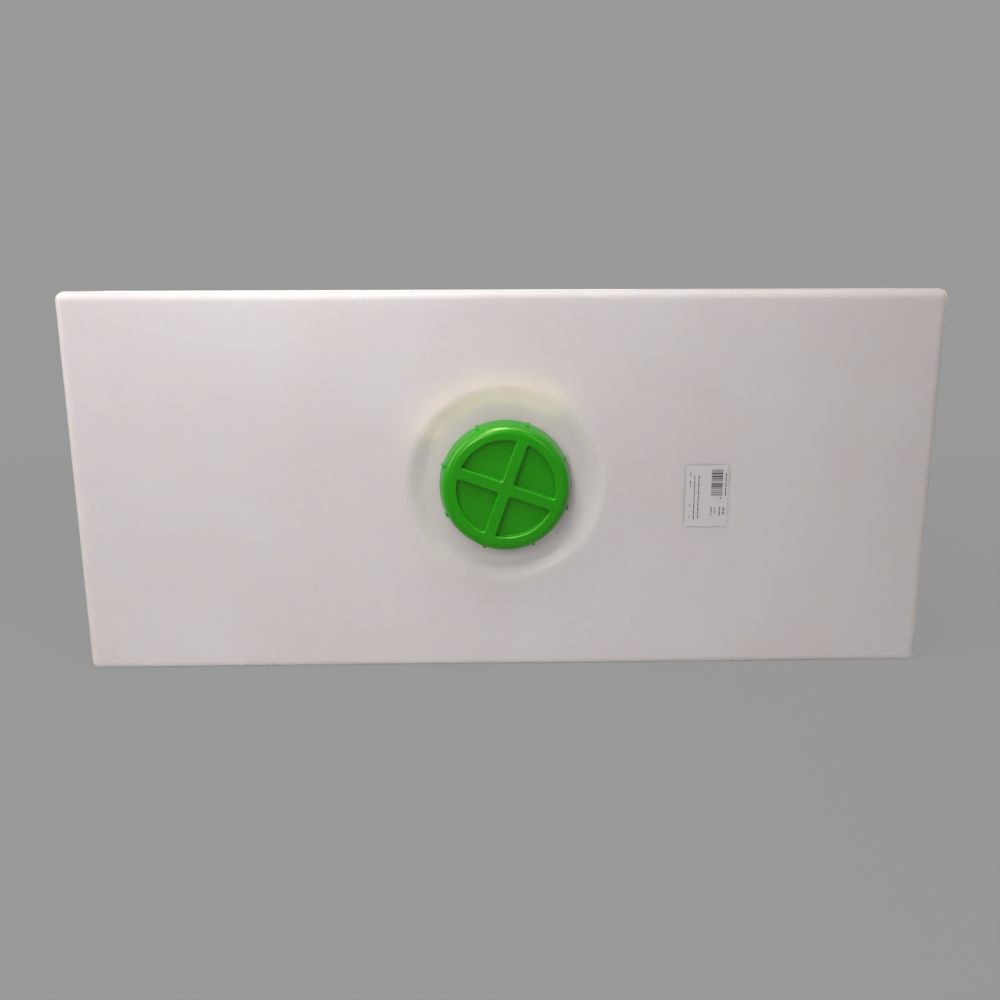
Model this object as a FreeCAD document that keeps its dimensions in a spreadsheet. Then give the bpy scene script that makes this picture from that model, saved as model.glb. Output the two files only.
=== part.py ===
"""A moulded polyethylene water tank with a screw lid set in a round recess of its front wall.

Millimetres. The tank stands on its long narrow side: X along its length, Y from the front wall
to the back wall, Z up, with the origin at the middle of the base.
"""
import math
import os

import FreeCAD, Part
import Sketcher
from FreeCAD import Placement, Rotation, Vector

# Driving sizes: alias, value.
SIZES = [
    # The moulded shell.
    ("tank_width", 1000),
    ("tank_depth", 250),
    ("tank_height", 445),
    ("wall", 5),
    ("edge_radius", 10),
    # The dished recess round the filler.
    ("recess_depth", 9),
    ("recess_slope", 17),
    ("recess_lip_radius", 10),
    ("recess_land", 8),
    ("finger_gap", 19),
    # The filler neck.
    ("neck_outside", 134),
    ("neck_wall", 4.5),
    ("neck_root", 3),
    # The screw lid.
    ("lid_height", 25),
    ("lid_plate", 4),
    ("lid_rim_radius", 9),
    ("lid_clearance", 5),
    ("skirt_wall", 2.75),
    ("skirt_flare", 4.5),
    ("thread_gap", 1.75),
    ("plug_gap", 4.25),
    ("pocket_wall", 1.75),
    ("pocket_depth", 7),
    ("pocket_floor", 3),
    ("pocket_corner", 3.5),
    ("pocket_count", 4),
    ("bar_width", 14),
    ("bar_angle", 70.5),
    ("nub_count", 8),
    ("nub_width", 4),
    ("nub_proud", 2),
    ("nub_setback", 2),
    # The seal ring under the lid.
    ("seal_thickness", 3),
    ("seal_gap", 0.5),
    ("seal_overhang", 2.5),
]

# Sizes that follow from the driving ones, for use inside expressions.
SHEET = "Sizes"
NECK_R = f"({SHEET}.neck_outside / 2)"
BORE_R = f"({NECK_R} - {SHEET}.neck_wall)"
SKIRT_IN_R = f"({NECK_R} + {SHEET}.thread_gap)"
RIM_R = f"({SKIRT_IN_R} + {SHEET}.skirt_wall)"
FOOT_R = f"({RIM_R} + {SHEET}.skirt_flare)"
PLUG_R = f"({BORE_R} - {SHEET}.plug_gap)"
POCKET_R = f"({PLUG_R} - {SHEET}.pocket_wall)"
PLUG_DEPTH = f"({SHEET}.pocket_depth + {SHEET}.pocket_floor)"
FLOOR_R = f"({FOOT_R} + {SHEET}.nub_proud + {SHEET}.finger_gap)"
MOUTH_R = f"({FLOOR_R} + {SHEET}.recess_slope)"
RECESS_R = f"({MOUTH_R} + {SHEET}.recess_land)"
FLOOR_Z = f"(-{SHEET}.recess_depth)"
SLOPE = f"atan({SHEET}.recess_depth / {SHEET}.recess_slope)"
BACK_SHIFT = f"({SHEET}.wall * tan({SLOPE} / 2))"
LIP_R = f"{SHEET}.recess_lip_radius"
LIP_REACH = f"({LIP_R} * tan({SLOPE} / 2))"
COLLAR_Z = f"({FLOOR_Z} + {SHEET}.neck_root)"
LID_PROUD = f"({FLOOR_Z} + {SHEET}.lid_clearance + {SHEET}.lid_height)"
SEAL_TOP = f"({LID_PROUD} - {SHEET}.lid_plate)"
NECK_TOP = f"({SEAL_TOP} - {SHEET}.seal_thickness)"
RIM_TURN = f"atan({SHEET}.lid_height / {SHEET}.skirt_flare)"
RIM_BEND_R = f"{SHEET}.lid_rim_radius"
RIM_REACH = f"({RIM_BEND_R} * tan({RIM_TURN} / 2))"
INNER_EDGE = f"max({SHEET}.edge_radius - {SHEET}.wall; 1)"

# A turned bend is drawn as short chords, each for this angle at most.
CHORD_ANGLE = 20

NEAR = 1e-4

doc = FreeCAD.newDocument("water_tank")


def make_sheet():
    """The spreadsheet of driving sizes, one alias to a row."""
    sheet = doc.addObject("Spreadsheet::Sheet", SHEET)
    for row, (alias, value) in enumerate(SIZES, start=1):
        sheet.set(f"A{row}", alias)
        sheet.set(f"B{row}", str(value))
        sheet.setAlias(f"B{row}", alias)
    doc.recompute()
    return sheet


sheet = make_sheet()


def size(expression):
    """The present value of an expression over the sheet."""
    value = sheet.evalExpression(expression)
    return float(getattr(value, "Value", value))


def bind(target, **expressions):
    """Ties properties to expressions; a double underscore in a name stands for a dot."""
    for name, expression in expressions.items():
        target.setExpression(name.replace("__", "."), expression)


def make_body(label, on_front=None):
    """An empty body; on_front lays its Z axis along the filler's axis, that far out of the front face."""
    body = doc.addObject("PartDesign::Body", label)
    body.Label = label
    if on_front is not None:
        body.Placement = Placement(Vector(0, 0, 0), Rotation(Vector(1, 0, 0), 90))
        bind(body, Placement__Base__y=f"-{SHEET}.tank_depth / 2 - {on_front}",
             Placement__Base__z=f"{SHEET}.tank_height / 2")
    return body


def make_sketch(body, name, role):
    """An empty sketch on one of the body's own origin planes."""
    plane = next(f for f in body.Origin.OriginFeatures if f.Role == role)
    sketch = body.newObject("Sketcher::SketchObject", name)
    sketch.AttachmentSupport = (plane, [""])
    sketch.MapMode = "FlatFace"
    return sketch


def constrain(sketch, name, expression, kind, *places):
    """Adds a dimension to a sketch and ties it to an expression."""
    index = sketch.addConstraint(Sketcher.Constraint(kind, *places, size(expression)))
    sketch.renameConstraint(index, name)
    sketch.setExpression(f"Constraints.{name}", expression)


def polygon(body, name, role, corners):
    """A closed outline through corners, each an (across, up) pair of expressions."""
    sketch = make_sketch(body, name, role)
    points = [Vector(size(x), size(y), 0) for x, y in corners]
    count = len(points)
    for i in range(count):
        sketch.addGeometry(Part.LineSegment(points[i], points[(i + 1) % count]))
    for i in range(count):
        sketch.addConstraint(Sketcher.Constraint("Coincident", i, 2, (i + 1) % count, 1))
    for i, (x, y) in enumerate(corners):
        constrain(sketch, f"across{i}", x, "DistanceX", -1, 1, i, 1)
        constrain(sketch, f"up{i}", y, "DistanceY", -1, 1, i, 1)
    return sketch


def turned(body, name, corners):
    """A revolution of a half section about the body's Z axis."""
    sketch = polygon(body, f"{name}_section", "XZ_Plane", corners)
    feature = body.newObject("PartDesign::Revolution", name)
    feature.Profile = sketch
    feature.ReferenceAxis = (sketch, ["V_Axis"])
    feature.Angle = 360
    doc.recompute()
    return feature


def bend(across, radius, sweep, side):
    """Corners along an arc that starts level, at zero, straight over its centre and falls towards a side."""
    chords = math.ceil(size(sweep) / CHORD_ANGLE)
    angles = [f"({sweep} * {k} / {chords})" for k in range(chords + 1)]
    return [(f"({across} {side} {radius} * sin({a}))", f"({radius} * (cos({a}) - 1))") for a in angles]


def extruded(body, kind, name, sketch, length, downwards=False, both_ways=False):
    """A Pad of a sketch, upwards unless told otherwise, or a Pocket, downwards."""
    feature = body.newObject(f"PartDesign::{kind}", name)
    feature.Profile = sketch
    feature.Reversed = downwards
    if both_ways:
        feature.SideType = "Symmetric"
    bind(feature, Length=length)
    doc.recompute()
    return feature


def rounded(body, name, base, edges, radius):
    """A fillet on the named edges of the body's last feature."""
    feature = body.newObject("PartDesign::Fillet", name)
    feature.Base = (base, edges)
    bind(feature, Radius=radius)
    doc.recompute()
    return feature


def repeated(body, name, feature, axis, count):
    """A polar pattern of a feature about an axis of its sketch."""
    pattern = body.newObject("PartDesign::PolarPattern", name)
    pattern.Originals = [feature]
    pattern.Axis = axis
    pattern.Angle = 360
    bind(pattern, Occurrences=count)
    body.Tip = pattern
    doc.recompute()
    return pattern


def upright_edges(feature, low, high):
    """Names of the straight edges that run along Z from one level to another."""
    wanted = (size(low), size(high))
    names = []
    for i, edge in enumerate(feature.Shape.Edges, start=1):
        box = edge.BoundBox
        if isinstance(edge.Curve, Part.Line) and box.XLength < NEAR and box.YLength < NEAR:
            if abs(box.ZMin - wanted[0]) < NEAR and abs(box.ZMax - wanted[1]) < NEAR:
                names.append(f"Edge{i}")
    return names


def rounded_block(label, inset, radius):
    """The tank's outer form, or its cavity, as a block inset from the outside with rounded edges."""
    body = make_body(label)
    bind(body, Placement__Base__z=inset)
    half_w = f"({SHEET}.tank_width / 2 - {inset})"
    half_d = f"({SHEET}.tank_depth / 2 - {inset})"
    corners = [(f"-{half_w}", f"-{half_d}"), (half_w, f"-{half_d}"), (half_w, half_d), (f"-{half_w}", half_d)]
    plan = polygon(body, f"{label}_plan", "XY_Plane", corners)
    block = extruded(body, "Pad", f"{label}_block", plan, f"{SHEET}.tank_height - 2 * {inset}")
    edges = [f"Edge{i + 1}" for i in range(len(block.Shape.Edges))]
    rounded(body, f"{label}_edges", block, edges, radius)
    return body


def combine(kind, name, base, tool):
    """A boolean of two objects."""
    result = doc.addObject(f"Part::{kind}", name)
    result.Base = base
    result.Tool = tool
    doc.recompute()
    return result


def make_shell():
    """The hollow moulding with its rounded edges, holed where the recess goes."""
    outside = rounded_block("outside", "0", f"{SHEET}.edge_radius")
    cavity = rounded_block("cavity", f"{SHEET}.wall", INNER_EDGE)
    hollow = combine("Cut", "hollow", outside, cavity)
    hole = doc.addObject("Part::Cylinder", "recess_hole")
    hole.Placement = Placement(Vector(0, 0, 0), Rotation(Vector(1, 0, 0), 90))
    bind(hole, Radius=RECESS_R, Height=f"{SHEET}.tank_depth / 2", Placement__Base__z=f"{SHEET}.tank_height / 2",
         Placement__Base__y=f"-{SHEET}.tank_depth / 4")
    return combine("Cut", "shell", hollow, hole)


def make_wall(label, shell, across, up, centre, rotation):
    """One side of the shell, cut off along the mitre planes through the edges round it."""
    wedge = doc.addObject("Part::Wedge", f"{label}_mitre")
    wedge.Placement = Placement(Vector(0, 0, 0), rotation)
    overhang, depth = f"{SHEET}.wall", f"({SHEET}.edge_radius + {SHEET}.wall)"
    bind(wedge, Ymin=f"-{overhang}", Ymax=depth,
         Xmin=f"-{across} / 2 - {overhang}", Xmax=f"{across} / 2 + {overhang}",
         Zmin=f"-{up} / 2 - {overhang}", Zmax=f"{up} / 2 + {overhang}",
         X2min=f"-{across} / 2 + {depth}", X2max=f"{across} / 2 - {depth}",
         Z2min=f"-{up} / 2 + {depth}", Z2max=f"{up} / 2 - {depth}",
         Placement__Base__x=centre[0], Placement__Base__y=centre[1], Placement__Base__z=centre[2])
    return combine("Common", label, shell, wedge)


def make_walls(shell):
    """The six sides of the shell."""
    width, depth, height = (f"{SHEET}.tank_{side}" for side in ("width", "depth", "height"))
    middle = f"{height} / 2"
    x_axis, z_axis = Vector(1, 0, 0), Vector(0, 0, 1)
    sides = [
        ("front_wall", width, height, ("0", f"-{depth} / 2", middle), Rotation(z_axis, 0)),
        ("back_wall", width, height, ("0", f"{depth} / 2", middle), Rotation(z_axis, 180)),
        ("left_end", depth, height, (f"-{width} / 2", "0", middle), Rotation(z_axis, -90)),
        ("right_end", depth, height, (f"{width} / 2", "0", middle), Rotation(z_axis, 90)),
        ("top_wall", width, depth, ("0", "0", height), Rotation(x_axis, -90)),
        ("bottom_wall", width, depth, ("0", "0", "0"), Rotation(x_axis, 90)),
    ]
    return [make_wall(label, shell, *side) for label, *side in sides]


def make_recess():
    """The dished ring round the filler: land, rounded lip, sloping wall, floor and neck collar."""
    body = make_body("lid_recess", on_front="0")
    under = f"({FLOOR_Z} - {SHEET}.wall)"
    behind = f"(-{SHEET}.wall)"
    back_floor_r, back_mouth_r = f"({FLOOR_R} + {BACK_SHIFT})", f"({MOUTH_R} + {BACK_SHIFT})"
    root_r = f"({NECK_R} + {SHEET}.neck_root)"
    turned(body, "recess_dish", [
        (RECESS_R, "0"), *bend(f"{MOUTH_R} + {LIP_REACH}", LIP_R, SLOPE, "-"),
        (FLOOR_R, FLOOR_Z), (root_r, FLOOR_Z), (NECK_R, COLLAR_Z), (BORE_R, COLLAR_Z),
        (BORE_R, under), (back_floor_r, under), (back_mouth_r, behind), (RECESS_R, behind)])
    return body


def make_neck():
    """The filler neck, a tube that stands on the recess's collar."""
    body = make_body("filler_neck", on_front="0")
    turned(body, "neck_tube", [(BORE_R, COLLAR_Z), (NECK_R, COLLAR_Z), (NECK_R, NECK_TOP), (BORE_R, NECK_TOP)])
    return body


def make_seal():
    """The flat ring pressed between the neck's rim and the lid."""
    body = make_body("lid_seal", on_front="0")
    inner, outer = f"({BORE_R} - {SHEET}.seal_overhang)", f"({SKIRT_IN_R} - {SHEET}.seal_gap)"
    turned(body, "seal_ring", [(inner, NECK_TOP), (outer, NECK_TOP), (outer, SEAL_TOP), (inner, SEAL_TOP)])
    return body


def quadrant(body, name, grow):
    """A quarter disc beside two crossing bars, larger all round by grow."""
    sketch = make_sketch(body, name, "XY_Plane")
    bind(sketch, AttachmentOffset__Rotation__Angle=f"{SHEET}.bar_angle")
    edge, radius = f"({SHEET}.bar_width / 2 - {grow})", f"({POCKET_R} + {grow})"
    near, arc_r = size(edge), size(radius)
    far = (arc_r ** 2 - near ** 2) ** 0.5
    inner, right, upper = Vector(near, near, 0), Vector(far, near, 0), Vector(near, far, 0)
    arc = Part.Circle(Vector(0, 0, 0), Vector(0, 0, 1), arc_r)
    sketch.addGeometry(Part.LineSegment(inner, right))
    sketch.addGeometry(Part.ArcOfCircle(arc, arc.parameter(right), arc.parameter(upper)))
    sketch.addGeometry(Part.LineSegment(upper, inner))
    for first, end, second, start in ((0, 2, 1, 1), (1, 2, 2, 1), (2, 2, 0, 1)):
        sketch.addConstraint(Sketcher.Constraint("Coincident", first, end, second, start))
    sketch.addConstraint(Sketcher.Constraint("Coincident", 1, 3, -1, 1))
    sketch.addConstraint(Sketcher.Constraint("Horizontal", 0))
    sketch.addConstraint(Sketcher.Constraint("Vertical", 2))
    constrain(sketch, "beside", edge, "DistanceX", -1, 1, 0, 1)
    constrain(sketch, "above", edge, "DistanceY", -1, 1, 0, 1)
    constrain(sketch, "round", radius, "Radius", 1)
    return sketch


def make_lid():
    """The screw lid: rimmed cup, four finger pockets between crossing bars, grip nubs on the skirt.

    Its own Z axis starts from the front face, so everything lies at or below zero.
    """
    body = make_body("screw_lid", on_front=LID_PROUD)
    skirt_foot, plate_back = f"(-{SHEET}.lid_height)", f"(-{SHEET}.lid_plate)"
    turned(body, "lid_cup", [
        ("0", "0"), *bend(f"{RIM_R} - {RIM_REACH}", RIM_BEND_R, RIM_TURN, "+"),
        (FOOT_R, skirt_foot), (f"({FOOT_R} - {SHEET}.skirt_wall)", skirt_foot),
        (SKIRT_IN_R, plate_back), ("0", plate_back)])

    plug_plan = quadrant(body, "plug_plan", f"{SHEET}.pocket_wall")
    plug = extruded(body, "Pad", "plug", plug_plan, PLUG_DEPTH, downwards=True)
    repeated(body, "plugs", plug, (plug_plan, ["N_Axis"]), f"{SHEET}.pocket_count")

    pocket_plan = quadrant(body, "pocket_plan", "0")
    pocket = extruded(body, "Pocket", "pocket", pocket_plan, f"{SHEET}.pocket_depth")
    pockets = repeated(body, "pockets", pocket, (pocket_plan, ["N_Axis"]), f"{SHEET}.pocket_count")
    corners = upright_edges(pockets, f"-{SHEET}.pocket_depth", "0")
    rounded(body, "pocket_corners", pockets, corners, f"{SHEET}.pocket_corner")

    sunk, proud = f"- {SHEET}.skirt_wall / 2", f"+ {SHEET}.nub_proud"
    nub_top = f"({SHEET}.lid_rim_radius + {SHEET}.nub_setback)"
    top_r = f"{RIM_R} + {SHEET}.skirt_flare * {nub_top} / {SHEET}.lid_height"
    nub_side = polygon(body, "nub_side", "XZ_Plane", [
        (f"{top_r} {sunk}", f"-{nub_top}"), (f"{top_r} {proud}", f"-{nub_top}"),
        (f"{FOOT_R} {proud}", skirt_foot), (f"{FOOT_R} {sunk}", skirt_foot)])
    nub_side.AttachmentOffset = Placement(Vector(0, 0, 0), Rotation(Vector(0, 1, 0), 1))
    bind(nub_side, AttachmentOffset__Rotation__Angle=f"{SHEET}.bar_angle")
    nub = extruded(body, "Pad", "nub", nub_side, f"{SHEET}.nub_width", both_ways=True)
    repeated(body, "nubs", nub, (nub_side, ["V_Axis"]), f"{SHEET}.nub_count")
    return body


def check_document():
    """Stops if an object of the document failed."""
    failed = [o.Label for o in doc.Objects if "Invalid" in o.State or "Error" in o.State]
    if failed:
        raise RuntimeError(f"failed objects: {failed}")


def write_steps(pieces):
    """Checks each piece's solid and writes it under its own name."""
    for piece in pieces:
        shape = piece.Shape
        if shape.isNull() or not shape.isValid() or len(shape.Solids) != 1:
            raise RuntimeError(f"{piece.Label} is not one valid solid")
    os.makedirs("parts", exist_ok=True)
    for piece in pieces:
        piece.Shape.exportStep(f"parts/{piece.Label}.step")


pieces = make_walls(make_shell()) + [make_recess(), make_neck(), make_seal(), make_lid()]
doc.recompute()
check_document()
write_steps(pieces)
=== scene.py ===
"""A moulded polyethylene water tank with a green screw lid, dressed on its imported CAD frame.

Metres in the mesh, millimetres in the named sizes. X runs along the tank, Y from the front wall
to the back wall, Z up. Turned pieces are made round the filler's axis, whose own Z points out of
the front wall, and are then laid in place.
"""

import math
import random

import bmesh
import bpy
from mathutils import Matrix, Vector, noise


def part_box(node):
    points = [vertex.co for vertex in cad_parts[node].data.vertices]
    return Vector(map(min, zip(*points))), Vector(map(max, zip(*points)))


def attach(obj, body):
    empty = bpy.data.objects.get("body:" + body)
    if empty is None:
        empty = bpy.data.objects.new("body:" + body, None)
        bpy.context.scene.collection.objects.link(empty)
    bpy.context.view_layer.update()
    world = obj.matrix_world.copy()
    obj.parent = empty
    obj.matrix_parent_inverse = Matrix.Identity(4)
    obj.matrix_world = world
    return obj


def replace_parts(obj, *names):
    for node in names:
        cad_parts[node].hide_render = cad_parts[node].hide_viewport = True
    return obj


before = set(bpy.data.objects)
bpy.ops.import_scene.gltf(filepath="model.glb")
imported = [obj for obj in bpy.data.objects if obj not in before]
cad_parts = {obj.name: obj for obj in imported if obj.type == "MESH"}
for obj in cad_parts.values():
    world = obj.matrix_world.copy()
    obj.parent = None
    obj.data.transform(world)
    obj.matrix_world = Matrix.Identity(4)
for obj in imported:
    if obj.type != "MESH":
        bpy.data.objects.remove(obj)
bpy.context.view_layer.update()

MM = 0.001

# Places closer than this, in metres, are the same, and an edge that follows an axis by more than
# this share runs along it.
NEAR = 1e-5
PARALLEL = 0.99

# The moulded shell. Edges whose faces meet by more than CREASE, in radians, are rounded.
WALL = 5.0
CELLS = (80, 20, 36)
CREASE = 1.0
EDGE_RADIUS = 10.0
PARTING_WIDTH = 1.2
PARTING_HEIGHT = 0.35

# The bow of its broad panels: height, length of the waves, the margin where it dies away at a
# panel's edge, and the place in the noise that the waves are cut from.
PANEL_BOW = 0.5
BOW_LENGTH = 240.0
BOW_MARGIN = 100.0
BOW_SLICE = 0.4
BOW_SHIFT = Vector((3.1, 0, 7.7))

# The dished recess and the filler neck, heights from the front wall's face.
HOLE_CELLS = 24
BLEND_R = 124.0
MOUTH_R = 114.0
FLOOR_R = 97.0
RECESS_DEPTH = 9.0
LIP_BEND = 4.5
ROOT_BEND = 6.0
NECK_R = 67.0
NECK_TOP = 14.0
NECK_ROOT = 3.0
NECK_RIM = 1.0
NECK_RIM_ANGLE = math.radians(60)

# The screw thread, right-handed, as (radius, height) corners of each ridge's section. RUN_OUT is
# the share of a ridge's height that is left at its ends.
PITCH = 10.0
THREAD_STEPS = 72
RUN_OUT = 0.1
NECK_RIDGE = ((66.0, -7.2), (68.3, -5.9), (68.3, -4.3), (66.0, -3.0))
NECK_TURNS = 1.6
LID_RIDGE = ((69.2, -23.2), (67.6, -21.9), (67.6, -20.3), (69.2, -19.0))
LID_TURNS = 1.15

# The screw lid, heights from its front face.
LID_FRONT = 21.0
LID_STEPS = 120
LID_HEIGHT = 25.0
LID_PLATE = 4.0
RIM_R = 71.5
RIM_BEND = 7.6
FRONT_R = 63.2
UNDER_R = 66.5
FOOT_R = 77.0
FOOT_LAND = 1.5
FOOT_BEND = 0.8
SKIRT_WALL = 2.75
SKIRT_BEND = 1.0
GATE_R = 6.5
GATE_STEPS = [(0.5, 0.1), (0.5, 0.1)]

# Its grip nubs.
NUB_COUNT = 8
NUB_TOP = 11.0
NUB_PROUD = 2.0
NUB_DRAFT = 0.3
NUB_CHAMFER = 0.4

# Its crossing bars, the pockets between them and the plugs that the pockets form underneath.
BAR_WIDTH = 14.0
BAR_ANGLE = math.radians(70.5)
POCKET_R = 56.5
POCKET_DEPTH = 7.0
POCKET_LIP = 2.5
POCKET_FOOT = 0.4
POCKET_DRAFT = 0.2
POCKET_WALL = 1.75
POCKET_FLOOR = 3.0
POCKET_CORNER = 5.0
POCKET_ARC_STEPS = 14
SUPPORT_LOOP = 0.3
PLUG_ROOT = 1.2
PLUG_BEND = 0.8
PLUG_DRAFT = 0.3

# The seal ring, heights from the front wall's face.
SEAL_SECTION = ((60.0, 14.0), (68.25, 14.0), (68.25, 17.0), (60.0, 17.0))
SEAL_BEND = 0.4

# The paper label, by its middle on the front wall.
LABEL_X, LABEL_Z = 235.0, 209.0
LABEL_SIZE = (50.0, 73.0)
LABEL_CORNER = 1.5
PAPER = 0.12
GLUE = 0.02
INK = 0.05
PATCH_CELL = 6.0

# Its print, from its middle: the stacked bars' left side, width, foot and head with the bars'
# heights and gaps, and broken rules as (across, from, to, width) with their dashes' range and gap.
BARS = (5.2, 13.2, 0.5, 31.5)
BAR_HEIGHTS = (0.6, 0.6, 1.2, 1.8)
BAR_GAPS = (0.6, 0.6, 1.2)
RULES = (
    (22.2, 0.0, 28.0, 1.1), (16.5, -3.4, -1.6, 1.6), (-14.5, -28.0, 24.0, 1.1),
    (-9.6, -27.0, 24.5, 1.1), (-19.6, 23.3, 29.2, 0.8), (-19.6, 10.5, 18.7, 0.9),
    (-19.6, -12.8, -8.2, 0.7), (-19.6, -26.8, -22.2, 0.7), (6.1, -23.5, -12.5, 1.1),
    (9.9, -21.5, -13.5, 0.9), (15.8, -23.5, -13.0, 1.2), (20.4, -22.5, -14.0, 1.5),
)
DASHES = (2.0, 6.0)
DASH_GAP = 0.9

# The camera stands where the photograph was taken from, turned by angles in degrees.
CAMERA_LENS = 33.84
CAMERA_PLACE = (-0.0258, -1.1939, 0.4457)
CAMERA_TURN = (77.358, 0.197, -1.078)

# Soft boxes: where each stands, the point that it faces, its length and width, and its watts.
LAMPS = {
    "overhead_lamp": ((0.14, -0.36, 1.45), (0.14, -0.13, 0.25), (1.1, 0.3), 3.9),
    "ceiling_lamp": ((-0.22, -0.4, 1.45), (-0.22, -0.13, 0.25), (0.22, 0.22), 2.8),
    "upper_left_lamp": ((-1.1, -0.33, 0.85), (0, -0.13, 0.25), (0.3, 0.9), 4.1),
    "high_lamp": ((-0.4, -0.9, 1.2), (0, -0.12, 0.22), (0.4, 0.4), 4.2),
    "front_lamp": ((-0.42, -1.21, 0.7), (0, -0.12, 0.22), (0.3, 0.3), 3.5),
    "streak_lamp": ((0.61, -1.15, 0.78), (0, -0.12, 0.22), (0.2, 0.2), 1.1),
    "back_lamp": ((-0.3, 1.2, 1.0), (0, 0.12, 0.22), (1.4, 1.4), 8.0),
    "right_lamp": ((1.5, 0.25, 0.8), (0.5, 0.0, 0.22), (0.8, 0.8), 3.5),
}
LID_LAMP = ((-0.1, -0.45, 1.2), (0, -0.14, 0.22), (0.3, 0.2), 4.0)

# Light that soaks through the tank's top and comes out again at the recess's upper slope, from
# small lamps behind the slope: angles round the filler's axis, radius, depth, size and watts.
GLOW_ANGLES = (62, 82, 102, 122, 142)
GLOW_R = 112.0
GLOW_DEPTH = 27.0
GLOW_SIZE = (0.036, 0.014)
GLOW_POWER = 0.005

# The world's dim light, and the even greys that meet the eye behind the tank and on the floor
# round it. The floor's grey covers most of it near the tank and fades into the backdrop's between
# two distances in metres.
WORLD_LIGHT = "D0D0D0"
WORLD_STRENGTH = 0.1
WORLD_GREY = "999999"
FLOOR_GREY = "949494"
FLOOR_FADE = (0.6, 2.0)
FLOOR_EVEN = 0.94

# The round floor that curves up at its edge.
COVE_R = 4000.0
COVE_RISE = 250.0
COVE_BEND = 120.0

front_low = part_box("front_wall")[0]
tank_low = Vector((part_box("left_end")[0].x, front_low.y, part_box("bottom_wall")[0].z))
tank_high = Vector((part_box("right_end")[1].x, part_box("back_wall")[1].y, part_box("top_wall")[1].z))
tank_middle = (tank_low + tank_high) / 2
tank_size = tank_high - tank_low

FILLER = Matrix.Translation((0, tank_low.y, tank_middle.z)) @ Matrix.Rotation(math.radians(90), 4, "X")
LID_PLACE = FILLER @ Matrix.Translation((0, 0, LID_FRONT * MM))


def linear(hex_code):
    """Linear colour of an sRGB hex value."""
    channels = [int(hex_code[i:i + 2], 16) / 255 for i in (0, 2, 4)]
    lit = [c / 12.92 if c <= 0.04045 else ((c + 0.055) / 1.055) ** 2.4 for c in channels]
    return (*lit, 1.0)


def add_node(tree, kind, inputs, **settings):
    """Adds a node; an input is given a value or the output that feeds it."""
    node = tree.nodes.new(kind)
    for name, value in settings.items():
        setattr(node, name, value)
    for key, value in inputs.items():
        if isinstance(value, bpy.types.NodeSocket):
            tree.links.new(value, node.inputs[key])
        else:
            node.inputs[key].default_value = value
    return node


def start_material(name, **sockets):
    """A material with its shader's constant sockets set, its tree, shader and object coordinates."""
    material = bpy.data.materials.new(name)
    material.use_nodes = True
    tree = material.node_tree
    shader = tree.nodes["Principled BSDF"]
    for key, value in sockets.items():
        shader.inputs[key.replace("_", " ")].default_value = value
    place = add_node(tree, "ShaderNodeTexCoord", {})
    return material, tree, shader, place.outputs["Object"]


def mottle(tree, shader, place, patch, detail, tones, span=(0.0, 1.0)):
    """Clouds a shader's colour between two tones in patches of a size in mm; returns the pattern."""
    cloud = add_node(tree, "ShaderNodeTexNoise",
                     {"Vector": place, "Scale": 1 / (patch * MM), "Detail": detail})
    tint = add_node(tree, "ShaderNodeValToRGB", {"Fac": cloud.outputs["Fac"]})
    for stop, position, tone in zip(tint.color_ramp.elements, span, tones):
        stop.position = position
        stop.color = linear(tone)
    tree.links.new(tint.outputs["Color"], shader.inputs["Base Color"])
    return cloud.outputs["Fac"]


def natural_polyethylene():
    """Milky polyethylene, moulded in a tumbling oven: satin, light soaks in and softens its edges."""
    material, tree, shader, place = start_material(
        "natural_polyethylene", Roughness=0.34, IOR=1.5,
        Subsurface_Weight=1.0, Subsurface_Scale=0.012, Subsurface_Radius=(1.0, 1.0, 0.7))
    mottle(tree, shader, place, 180, 2.0, ("E6DBD6", "EBE1DE"), span=(0.3, 0.7))
    peel = add_node(tree, "ShaderNodeTexNoise", {"Vector": place, "Scale": 1 / (6 * MM), "Detail": 3.0})
    bump = add_node(tree, "ShaderNodeBump",
                    {"Height": peel.outputs["Fac"], "Strength": 0.05, "Distance": 0.6 * MM})
    tree.links.new(bump.outputs["Normal"], shader.inputs["Normal"])
    return material


def moulded_polypropylene():
    """Green polypropylene from a fine-grained tool: half gloss with a soft bloom on its edges."""
    material, tree, shader, place = start_material(
        "moulded_polypropylene", Roughness=0.28, IOR=1.49,
        Specular_IOR_Level=0.75, Specular_Tint=(0.8, 1.0, 0.4, 1.0))
    mottle(tree, shader, place, 30, 3.0, ("0C8800", "108F02"), span=(0.3, 0.7))
    grain = add_node(tree, "ShaderNodeTexNoise", {"Vector": place, "Scale": 1 / (1.2 * MM), "Detail": 2.0})
    bump = add_node(tree, "ShaderNodeBump",
                    {"Height": grain.outputs["Fac"], "Strength": 0.08, "Distance": 0.2 * MM})
    tree.links.new(bump.outputs["Normal"], shader.inputs["Normal"])
    return material


def seal_rubber():
    """Black rubber, cut from sheet: matt, with a dusty grain."""
    material, tree, shader, place = start_material("seal_rubber", Roughness=0.8, IOR=1.52)
    grain = mottle(tree, shader, place, 1.5, 3.0, ("1C1C1C", "2A2A2A"))
    bump = add_node(tree, "ShaderNodeBump", {"Height": grain, "Strength": 0.2, "Distance": 0.2 * MM})
    tree.links.new(bump.outputs["Normal"], shader.inputs["Normal"])
    return material


def label_paper():
    """White coated paper: smooth, a little cloudy where the fibres gather."""
    material, tree, shader, place = start_material("label_paper", Roughness=0.5, IOR=1.5)
    mottle(tree, shader, place, 3, 4.0, ("D2CECF", "D9D5D6"))
    return material


def label_ink():
    """Thermal print: dark grey, slightly broken where the head missed."""
    material, tree, shader, place = start_material("label_ink", Roughness=0.55, IOR=1.5)
    mottle(tree, shader, place, 0.8, 2.0, ("403B3D", "5A5556"))
    return material


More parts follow.
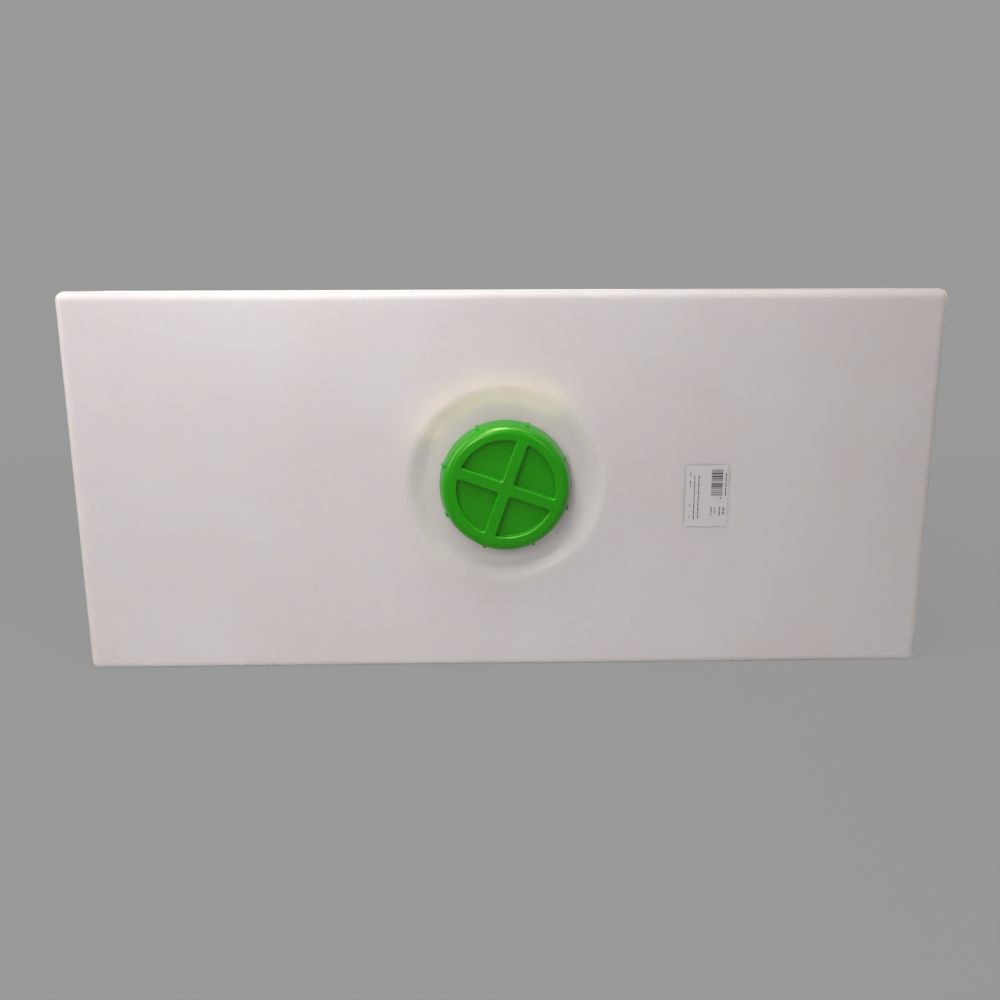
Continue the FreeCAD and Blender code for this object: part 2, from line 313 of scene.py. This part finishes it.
def eye_rays(tree):
    """One for a ray that comes from the eye, straight, mirrored or through something clear."""
    path = add_node(tree, "ShaderNodeLightPath", {})
    seen = add_node(tree, "ShaderNodeMath",
                    {0: path.outputs["Is Camera Ray"], 1: path.outputs["Is Glossy Ray"]})
    seen = add_node(tree, "ShaderNodeMath",
                    {0: seen.outputs[0], 1: path.outputs["Is Transmission Ray"]}, use_clamp=True)
    return seen.outputs[0]


def pale_floor():
    """Matt painted studio floor that meets the eye as an even grey and keeps the tank's shadow."""
    material, tree, shader, place = start_material("pale_floor", Roughness=0.8)
    mottle(tree, shader, place, 400, 3.0, ("D8D8D8", "DCDCDC"))
    away = add_node(tree, "ShaderNodeVectorMath", {0: place}, operation="LENGTH")
    near, far = FLOOR_FADE
    fade = add_node(tree, "ShaderNodeMapRange",
                    {"Value": away.outputs["Value"], "From Min": near, "From Max": far})
    grey = add_node(tree, "ShaderNodeValToRGB", {"Fac": fade.outputs["Result"]})
    for stop, tone in zip(grey.color_ramp.elements, (FLOOR_GREY, WORLD_GREY)):
        stop.color = linear(tone)
    level = add_node(tree, "ShaderNodeMapRange",
                     {"Value": fade.outputs["Result"], "To Min": FLOOR_EVEN, "To Max": 1.0})
    share = add_node(tree, "ShaderNodeMath", {0: eye_rays(tree), 1: level.outputs["Result"]},
                     operation="MULTIPLY")
    even = add_node(tree, "ShaderNodeEmission", {"Color": grey.outputs["Color"]})
    mix = add_node(tree, "ShaderNodeMixShader",
                   {0: share.outputs[0], 1: shader.outputs["BSDF"], 2: even.outputs["Emission"]})
    tree.links.new(mix.outputs["Shader"], tree.nodes["Material Output"].inputs["Surface"])
    return material


def new_object(bm, name, material, sharp):
    """A smooth-shaded object made of a bmesh, creased where faces meet more sharply than an angle."""
    mesh = bpy.data.meshes.new(name)
    bm.to_mesh(mesh)
    bm.free()
    mesh.polygons.foreach_set("use_smooth", [True] * len(mesh.polygons))
    mesh.set_sharp_from_angle(angle=math.radians(sharp))
    mesh.materials.append(material)
    piece = bpy.data.objects.new(name, mesh)
    bpy.context.scene.collection.objects.link(piece)
    return piece


def add_piece(bm, name, body, material, sharp=40):
    """A piece of the tank, which rides on a body."""
    piece = new_object(bm, name, material, sharp)
    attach(piece, body)
    return piece


def turned(bm, points, steps, start=0.0, closed=False):
    """Spins a half section of (radius, height) points right round the axis."""
    turn = Matrix.Rotation(start, 3, "Z")
    verts = [bm.verts.new(turn @ Vector((r * MM, 0, z * MM))) for r, z in points]
    pairs = list(zip(verts, verts[1:]))
    if closed:
        pairs.append((verts[-1], verts[0]))
    edges = [bm.edges.new(pair) for pair in pairs]
    bmesh.ops.spin(bm, geom=verts + edges, cent=(0, 0, 0), axis=(0, 0, 1), angle=math.tau,
                   steps=steps, use_merge=True)


def ring_edges(bm, radius, height):
    """The edges of the circle at a radius and height."""
    def lies_on(vert):
        return abs(vert.co.xy.length - radius * MM) < NEAR and abs(vert.co.z - height * MM) < NEAR
    return [e for e in bm.edges if lies_on(e.verts[0]) and lies_on(e.verts[1])]


def bend(bm, edges, offset, segments):
    """Rounds edges off."""
    bmesh.ops.bevel(bm, geom=edges, offset=offset * MM, offset_type="OFFSET", affect="EDGES",
                    segments=segments, profile=0.5, material=-1, clamp_overlap=False)


def bow(x, z):
    """How far a broad panel stands out, as a moulded one cools unevenly; nothing at its edges."""
    wave = noise.noise(Vector((x, BOW_SLICE, z)) / (BOW_LENGTH * MM) + BOW_SHIFT)
    near_edge = min(x - tank_low.x, tank_high.x - x, z - tank_low.z, tank_high.z - z)
    return wave * min(1.0, max(0.0, near_edge) / (BOW_MARGIN * MM)) * PANEL_BOW * MM


def make_block(bm):
    """The tank's outer block, gridded so that its panels can bow, with its edges rounded."""
    place = Matrix.Translation(tank_middle) @ Matrix.Diagonal((*tank_size, 1))
    bmesh.ops.create_cube(bm, size=1.0, matrix=place)
    for axis, cells in enumerate(CELLS):
        along = [e for e in bm.edges
                 if abs((e.verts[1].co - e.verts[0].co).normalized()[axis]) > PARALLEL]
        bmesh.ops.subdivide_edges(bm, edges=along, cuts=cells - 1, use_grid_fill=True)
    creases = [e for e in bm.edges if e.calc_face_angle(0) > CREASE]
    bend(bm, creases, EDGE_RADIUS, segments=8)


def raise_parting_line(bm):
    """The thin ridge where the mould's halves met, round the ends and the top at half depth."""
    def at_half_depth(vert, above):
        return abs(vert.co.y - tank_middle.y) < NEAR and vert.co.z > tank_low.z + above
    middle = [e for e in bm.edges if all(at_half_depth(v, NEAR) for v in e.verts)]
    bend(bm, middle, PARTING_WIDTH, segments=2)
    bm.normal_update()
    ridge = [v for v in bm.verts if at_half_depth(v, EDGE_RADIUS * MM)]
    for vert in ridge:
        vert.co += vert.normal * PARTING_HEIGHT * MM


def open_front(bm):
    """Cuts a square out of the front grid and returns the edges round it."""
    half_x = tank_size.x / CELLS[0] * HOLE_CELLS / 2
    half_z = tank_size.z / CELLS[2] * HOLE_CELLS / 2
    def inside(face):
        middle = face.calc_center_median() - tank_middle
        return abs(middle.x) < half_x and abs(middle.z) < half_z and middle.y + tank_size.y / 2 < NEAR
    bmesh.ops.delete(bm, geom=[f for f in bm.faces if inside(f)], context="FACES")
    return [e for e in bm.edges if e.is_boundary]


def extrude_ring(bm, edges, radius, height):
    """Extrudes the front's open edge to a circle round the filler's axis."""
    geom = bmesh.ops.extrude_edge_only(bm, edges=edges)["geom"]
    for vert in geom:
        if isinstance(vert, bmesh.types.BMVert):
            spoke = Vector((vert.co.x, vert.co.z - tank_middle.z)).normalized() * radius * MM
            vert.co = FILLER @ Vector((spoke.x, spoke.y, height * MM))
    return [e for e in geom if isinstance(e, bmesh.types.BMEdge) and e.is_boundary]


def make_dish(bm, square):
    """The dish round the filler and the neck that stands in it, drawn on from the front's square hole."""
    rings = [extrude_ring(bm, square, BLEND_R, 0)]
    blend = {f for e in rings[0] for f in e.link_faces}
    inwards = ((MOUTH_R, 0), (FLOOR_R, -RECESS_DEPTH), (NECK_R, -RECESS_DEPTH), (NECK_R, NECK_TOP))
    for radius, height in inwards:
        rings.append(extrude_ring(bm, rings[-1], radius, height))
    spokes = {e for f in blend for e in f.edges} - set(square) - set(rings[0])
    bend(bm, rings[1], LIP_BEND, segments=10)
    bend(bm, rings[2], ROOT_BEND, segments=8)
    bend(bm, rings[3], NECK_ROOT, segments=5)
    bmesh.ops.subdivide_edges(bm, edges=list(spokes), cuts=2, use_grid_fill=True)


def make_shell():
    """The tank's one-piece moulding: block, dish and neck."""
    bm = bmesh.new()
    make_block(bm)
    raise_parting_line(bm)
    make_dish(bm, open_front(bm))
    bmesh.ops.recalc_face_normals(bm, faces=bm.faces)
    for vert in bm.verts:
        outwards = 1 if vert.co.y > tank_middle.y else -1
        vert.co.y += outwards * bow(vert.co.x, vert.co.z)
    return bm


def add_wall(shell):
    """Gives the moulding its wall, inwards, and rounds the neck's rim."""
    wall = shell.modifiers.new("wall", "SOLIDIFY")
    wall.thickness = WALL * MM
    wall.offset = -1.0
    wall.use_even_offset = True
    rim = shell.modifiers.new("rim", "BEVEL")
    rim.limit_method = "ANGLE"
    rim.angle_limit = NECK_RIM_ANGLE
    rim.width = NECK_RIM * MM
    rim.segments = 3


def thread_ridge(bm, corners, turns):
    """A helical ridge of a given section, its ends run out into the wall that carries it."""
    verts = [bm.verts.new((r * MM, 0, z * MM)) for r, z in corners]
    face = bm.faces.new(verts)
    geom = verts + list(face.edges) + [face]
    steps = int(THREAD_STEPS * turns)
    rise = Vector((0, 0, PITCH * MM * turns / steps))
    last = bmesh.ops.spin(bm, geom=geom, cent=(0, 0, 0), axis=(0, 0, 1), dvec=rise,
                          angle=math.tau * turns, steps=steps)
    ends = verts + [g for g in last["geom_last"] if isinstance(g, bmesh.types.BMVert)]
    root = corners[0][0] * MM
    for vert in ends:
        vert.co.xy = vert.co.xy.normalized() * (root + (vert.co.xy.length - root) * RUN_OUT)
    return bm


def make_neck_thread():
    """The thread round the neck."""
    bm = thread_ridge(bmesh.new(), NECK_RIDGE, NECK_TURNS)
    bmesh.ops.recalc_face_normals(bm, faces=bm.faces)
    bmesh.ops.transform(bm, matrix=FILLER, verts=bm.verts)
    return bm


def quarter_outline(bm, edge, radius, corner, height, turn):
    """A face shaped as the quarter disc beside two crossing bars, its corners rounded."""
    others = set(bm.faces)
    reach = math.sqrt(radius ** 2 - edge ** 2)
    span = math.atan2(reach, edge) - math.atan2(edge, reach)
    rotation = Matrix.Rotation(turn, 3, "Z")
    first = bm.verts.new(rotation @ Vector((reach, edge, height)) * MM)
    inner = bm.verts.new(rotation @ Vector((edge, edge, height)) * MM)
    arc = bmesh.ops.spin(bm, geom=[first], cent=(0, 0, 0), axis=(0, 0, 1), angle=span,
                         steps=POCKET_ARC_STEPS)
    last = arc["geom_last"][0]
    bm.edges.new((last, inner))
    bm.edges.new((inner, first))
    bmesh.ops.contextual_create(bm, geom=[e for e in bm.edges if e.is_wire])
    bmesh.ops.bevel(bm, geom=[first, inner, last], offset=corner * MM, offset_type="OFFSET",
                    affect="VERTICES", segments=6, profile=0.5, material=-1)
    return (set(bm.faces) - others).pop()


def four_quarters(bm, grow, height):
    """The four quarter outlines between the bars, larger all round than a pocket by grow."""
    edge, radius = BAR_WIDTH / 2 - grow, POCKET_R + grow
    turns = [BAR_ANGLE + math.radians(90 * k) for k in range(4)]
    return [quarter_outline(bm, edge, radius, POCKET_CORNER, height, turn) for turn in turns]


def rounded_steps(depth, lip, foot, draft, count=4):
    """Inset and depth steps of a pocket's wall: rounded lip, drafted side, rounded foot."""
    angles = [math.radians(90 * k / count) for k in range(count + 1)]
    path = [(lip * math.sin(a), lip * (1 - math.cos(a))) for a in angles]
    path += [(lip + draft + foot * (1 - math.cos(a)), depth - foot * (1 - math.sin(a))) for a in angles]
    return [(b[0] - a[0], b[1] - a[1]) for a, b in zip(path, path[1:])]


def step_in(bm, faces, steps, towards):
    """Sinks or raises faces by inset steps, with a support loop at their edge and at their foot."""
    for inset, drop in [(SUPPORT_LOOP, 0)] + steps + [(SUPPORT_LOOP, 0)]:
        for face in faces:
            bmesh.ops.inset_region(bm, faces=[face], thickness=inset * MM, depth=towards * drop * MM,
                                   use_even_offset=True)


def fill_flat(bm, ring, faces):
    """Fills the flat between a circle and the outlines that lie in it."""
    outlines = [e for f in faces for e in f.edges]
    bmesh.ops.triangle_fill(bm, edges=ring + outlines, use_beauty=True)


def raise_nubs(bm):
    """Draws the grip nubs out of the skirt, one column of its grid each."""
    spacing = math.tau / NUB_COUNT
    def is_nub(face):
        middle = face.calc_center_median()
        off = (math.atan2(middle.y, middle.x) - BAR_ANGLE + spacing / 2) % spacing - spacing / 2
        low = (FOOT_LAND - LID_HEIGHT) * MM < middle.z < -NUB_TOP * MM
        return low and middle.xy.length > RIM_R * MM and abs(off) < math.pi / LID_STEPS / 2
    nubs = [f for f in bm.faces if is_nub(f)]
    for inset, rise in ((NUB_DRAFT, NUB_PROUD - NUB_CHAMFER), (NUB_CHAMFER, NUB_CHAMFER)):
        bmesh.ops.inset_region(bm, faces=nubs, thickness=inset * MM, depth=rise * MM, use_even_offset=True)


def add_lid_thread(bm):
    """The ridge inside the skirt, rooted in its flared wall."""
    before = set(bm.verts)
    thread_ridge(bm, LID_RIDGE, LID_TURNS)
    flare = (FOOT_R - RIM_R) / (LID_HEIGHT - LID_PLATE)
    root = LID_RIDGE[0][0] * MM
    for vert in set(bm.verts) - before:
        if vert.co.xy.length > root - NEAR:
            vert.co.xy *= 1 + flare * (-vert.co.z - LID_PLATE * MM) / root


def turn_lid(bm):
    """The lid's rounded rim and flared skirt, open where its front and its underside are flat."""
    flare = (FOOT_R - RIM_R) / LID_HEIGHT
    inner_foot = (FOOT_R - SKIRT_WALL, -LID_HEIGHT)
    inner_top = (RIM_R - SKIRT_WALL, -LID_PLATE)
    section = [(FRONT_R, 0), (RIM_R, 0), (RIM_R + flare * NUB_TOP, -NUB_TOP),
               (FOOT_R - flare * FOOT_LAND, FOOT_LAND - LID_HEIGHT), (FOOT_R, -LID_HEIGHT),
               inner_foot, inner_top, (UNDER_R, -LID_PLATE)]
    turned(bm, section, LID_STEPS, start=BAR_ANGLE - math.pi / LID_STEPS)
    bend(bm, ring_edges(bm, RIM_R, 0), RIM_BEND, segments=10)
    bend(bm, ring_edges(bm, FOOT_R, -LID_HEIGHT) + ring_edges(bm, *inner_foot), FOOT_BEND, segments=3)
    bend(bm, ring_edges(bm, *inner_top), SKIRT_BEND, segments=3)


def make_lid():
    """The screw lid: rim and skirt, four finger pockets between crossing bars, grip nubs and thread."""
    bm = bmesh.new()
    turn_lid(bm)
    pockets = four_quarters(bm, POCKET_LIP, 0)
    circle = bmesh.ops.create_circle(bm, cap_ends=True, radius=GATE_R * MM, segments=48)
    gate = circle["verts"][0].link_faces[0]
    fill_flat(bm, ring_edges(bm, FRONT_R, 0), pockets + [gate])
    plugs = four_quarters(bm, POCKET_WALL + PLUG_ROOT, -LID_PLATE)
    fill_flat(bm, ring_edges(bm, UNDER_R, -LID_PLATE), plugs)
    bmesh.ops.recalc_face_normals(bm, faces=bm.faces)
    step_in(bm, pockets, rounded_steps(POCKET_DEPTH, POCKET_LIP, POCKET_FOOT, POCKET_DRAFT, count=6), -1)
    step_in(bm, [gate], GATE_STEPS, -1)
    plug_depth = POCKET_DEPTH + POCKET_FLOOR - LID_PLATE
    step_in(bm, plugs, rounded_steps(plug_depth, PLUG_BEND, PLUG_BEND, PLUG_DRAFT), 1)
    raise_nubs(bm)
    add_lid_thread(bm)
    bmesh.ops.recalc_face_normals(bm, faces=bm.faces)
    bmesh.ops.transform(bm, matrix=LID_PLACE, verts=bm.verts)
    return bm


def make_seal():
    """The flat ring under the lid, its cut edges slightly dulled."""
    bm = bmesh.new()
    turned(bm, SEAL_SECTION, LID_STEPS, closed=True)
    bmesh.ops.recalc_face_normals(bm, faces=bm.faces)
    bend(bm, [e for r, z in SEAL_SECTION for e in ring_edges(bm, r, z)], SEAL_BEND, segments=2)
    bmesh.ops.transform(bm, matrix=FILLER, verts=bm.verts)
    return bm


def lay_on_front(bm, stand_off):
    """Lays flat pieces, drawn in millimetres round the label's middle, on the bowed front wall."""
    for vert in bm.verts:
        x, z = (LABEL_X + vert.co.x) * MM, (LABEL_Z + vert.co.y) * MM
        vert.co = Vector((x, tank_low.y - bow(x, z) - (stand_off + vert.co.z) * MM, z))


def add_patch(bm, left, bottom, width, height):
    """A flat rectangle, divided finely enough to follow the wall."""
    middle = Matrix.Translation((left + width / 2, bottom + height / 2, 0))
    bmesh.ops.create_grid(bm, x_segments=1 + int(width / PATCH_CELL), y_segments=1 + int(height / PATCH_CELL),
                          size=0.5, matrix=middle @ Matrix.Diagonal((width, height, 1, 1)))


def make_label():
    """The paper label, a thin sheet with slightly rounded corners."""
    bm = bmesh.new()
    width, height = LABEL_SIZE
    add_patch(bm, -width / 2, -height / 2, width, height)
    corners = [v for v in bm.verts if len(v.link_faces) == 1]
    bmesh.ops.bevel(bm, geom=corners, offset=LABEL_CORNER, offset_type="OFFSET", affect="VERTICES",
                    segments=4, profile=0.5, material=-1)
    bmesh.ops.recalc_face_normals(bm, faces=bm.faces)
    bmesh.ops.solidify(bm, geom=bm.faces, thickness=-PAPER)
    lay_on_front(bm, GLUE)
    bmesh.ops.recalc_face_normals(bm, faces=bm.faces)
    return bm


def make_label_print():
    """Stacked bars and broken rules where such a label has its print; none of it can be read."""
    bm = bmesh.new()
    dice = random.Random(5)
    left, width, foot, head = BARS
    while foot < head:
        thick = dice.choice(BAR_HEIGHTS)
        add_patch(bm, left, foot, width, thick)
        foot += thick + dice.choice(BAR_GAPS)
    for across, low, high, width in RULES:
        while low < high:
            length = min(dice.uniform(*DASHES), high - low)
            add_patch(bm, across - width / 2, low, width, length)
            low += length + DASH_GAP
    bmesh.ops.recalc_face_normals(bm, faces=bm.faces)
    bmesh.ops.solidify(bm, geom=bm.faces, thickness=-INK)
    lay_on_front(bm, PAPER)
    bmesh.ops.recalc_face_normals(bm, faces=bm.faces)
    return bm


def place_camera():
    """Sets up the scene's camera."""
    camera = bpy.data.objects.new("camera", bpy.data.cameras.new("camera"))
    camera.data.lens = CAMERA_LENS
    camera.location = CAMERA_PLACE
    camera.rotation_euler = [math.radians(a) for a in CAMERA_TURN]
    bpy.context.scene.collection.objects.link(camera)
    bpy.context.scene.camera = camera


def add_lamp(name, place, aim, size, power):
    """A soft box of a length and a width that faces a point."""
    lamp = bpy.data.objects.new(name, bpy.data.lights.new(name, "AREA"))
    lamp.data.shape = "RECTANGLE"
    lamp.data.size, lamp.data.size_y = size
    lamp.data.energy = power
    lamp.location = place
    lamp.rotation_euler = (Vector(aim) - Vector(place)).to_track_quat("-Z", "Y").to_euler()
    bpy.context.scene.collection.objects.link(lamp)
    return lamp


def add_lamps(lid):
    """The soft boxes, the glow behind the recess, and a lamp over the lid that lights nothing else."""
    for name, settings in LAMPS.items():
        add_lamp(name, *settings)
    for number, angle in enumerate(GLOW_ANGLES):
        spoke = Vector((math.cos(math.radians(angle)), 0, math.sin(math.radians(angle)))) * GLOW_R * MM
        behind = Vector((0, tank_low.y + GLOW_DEPTH * MM, tank_middle.z)) + spoke
        forward = behind + Vector((0, -1, 0))
        add_lamp(f"inner_glow_{number}", behind, forward, GLOW_SIZE, GLOW_POWER)
    lid_only = bpy.data.collections.new("lid_only")
    lid_only.objects.link(lid)
    lid_lamp = add_lamp("lid_lamp", *LID_LAMP)
    lid_lamp.light_linking.receiver_collection = lid_only


def light_world():
    """A dim light from all round, seen by the eye as an even grey."""
    world = bpy.data.worlds.new("studio")
    world.use_nodes = True
    tree = world.node_tree
    light = tree.nodes["Background"]
    light.inputs["Color"].default_value = linear(WORLD_LIGHT)
    light.inputs["Strength"].default_value = WORLD_STRENGTH
    backdrop = add_node(tree, "ShaderNodeBackground", {"Color": linear(WORLD_GREY)})
    seen = add_node(tree, "ShaderNodeMixShader",
                    {0: eye_rays(tree), 1: light.outputs[0], 2: backdrop.outputs[0]})
    tree.links.new(seen.outputs[0], tree.nodes["World Output"].inputs["Surface"])
    bpy.context.scene.world = world
    bpy.context.scene.view_settings.view_transform = "Standard"


def make_cove():
    """A round pale floor that curves up into its own backdrop."""
    bm = bmesh.new()
    turned(bm, [(0, 0), (COVE_R, 0), (COVE_R, COVE_RISE)], steps=96)
    bmesh.ops.remove_doubles(bm, verts=bm.verts, dist=NEAR)
    bend(bm, ring_edges(bm, COVE_R, 0), COVE_BEND, segments=12)
    bmesh.ops.recalc_face_normals(bm, faces=bm.faces)
    return bm


polyethylene = natural_polyethylene()
shell = add_piece(make_shell(), "tank_shell", "tank", polyethylene)
add_wall(shell)
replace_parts(shell, "front_wall", "back_wall", "top_wall", "bottom_wall", "left_end", "right_end",
            "lid_recess", "filler_neck")
add_piece(make_neck_thread(), "neck_thread", "tank", polyethylene)
lid = add_piece(make_lid(), "lid", "lid", moulded_polypropylene())
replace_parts(lid, "screw_lid")
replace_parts(add_piece(make_seal(), "seal", "seal", seal_rubber()), "lid_seal")
add_piece(make_label(), "label", "tank", label_paper())
add_piece(make_label_print(), "label_print", "tank", label_ink())

place_camera()
add_lamps(lid)
light_world()
new_object(make_cove(), "cove", pale_floor(), sharp=60)
